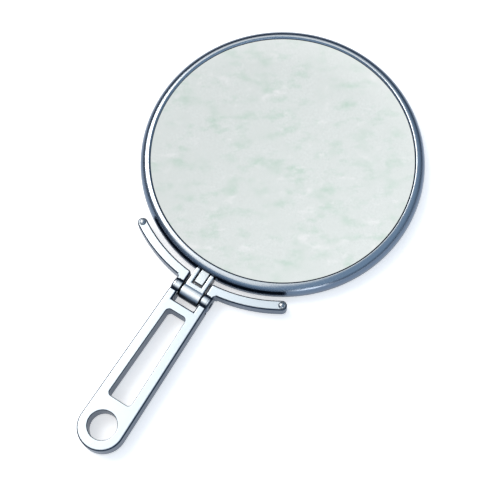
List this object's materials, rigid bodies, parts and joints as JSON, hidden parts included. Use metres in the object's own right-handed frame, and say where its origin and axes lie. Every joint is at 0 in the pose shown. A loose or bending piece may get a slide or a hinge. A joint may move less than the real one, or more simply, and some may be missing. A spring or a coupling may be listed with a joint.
{
  "type": "folding hand mirror",
  "caption": "Round two-sided mirror head on a folding link, with a slotted handle that has a hanging hole and with curved side arms that serve as feet when it stands on a table.",
  "frame": {"origin": "centre of the object's bounding box in X and Y, on the plane the back rim lies on", "axes": "+X to the right along the hinge pins, +Y from the handle to the mirror head, +Z out of the plain glass; the mirror lies flat and open"},
  "size_m": [0.15, 0.2552, 0.0122],
  "materials": {
    "satin_silver": "satin, lightly plated",
    "satin_slate_silver": "satin, dark silver",
    "silvered_glass": "polished, silvered behind",
    "white_foam": "closed-cell foam",
    "grey_board": "plain board",
    "pin_steel": "ground",
    "black_nylon": "moulded"
  },
  "bodies": {
    "handle": {"handle": "satin_silver", "hinge_washer_left": "black_nylon", "hinge_washer_right": "black_nylon"},
    "link": {"link_yoke": "satin_silver", "tilt_pin": "pin_steel", "tilt_washer_left": "black_nylon", "tilt_washer_right": "black_nylon"},
    "head": {"rim_front": "satin_slate_silver", "rim_back": "satin_slate_silver", "front_mirror": "silvered_glass", "back_mirror": "silvered_glass", "front_foam_pad": "white_foam", "back_foam_ring": "white_foam", "core_disc": "grey_board", "rim_lug": "satin_silver"},
    "stand_arms": {"arm_left": "satin_silver", "arm_right": "satin_silver", "main_pin": "pin_steel", "bumper_left": "pin_steel", "bumper_right": "pin_steel"}
  },
  "joints": [
    {"name": "main_hinge", "type": "hinge", "parent": "handle", "child": "link", "pos_m": [0, -0.0348, 0.0061], "axis": [1, 0, 0], "range_deg": [-90, 0]},
    {"name": "head_tilt", "type": "hinge", "parent": "link", "child": "head", "pos_m": [0, -0.0257, 0.0061], "axis": [1, 0, 0], "range_deg": [-60, 60]},
    {"name": "arm_swing", "type": "hinge", "parent": "handle", "child": "stand_arms", "pos_m": [0, -0.0348, 0.0061], "axis": [1, 0, 0], "range_deg": [0, 70]}
  ]
}
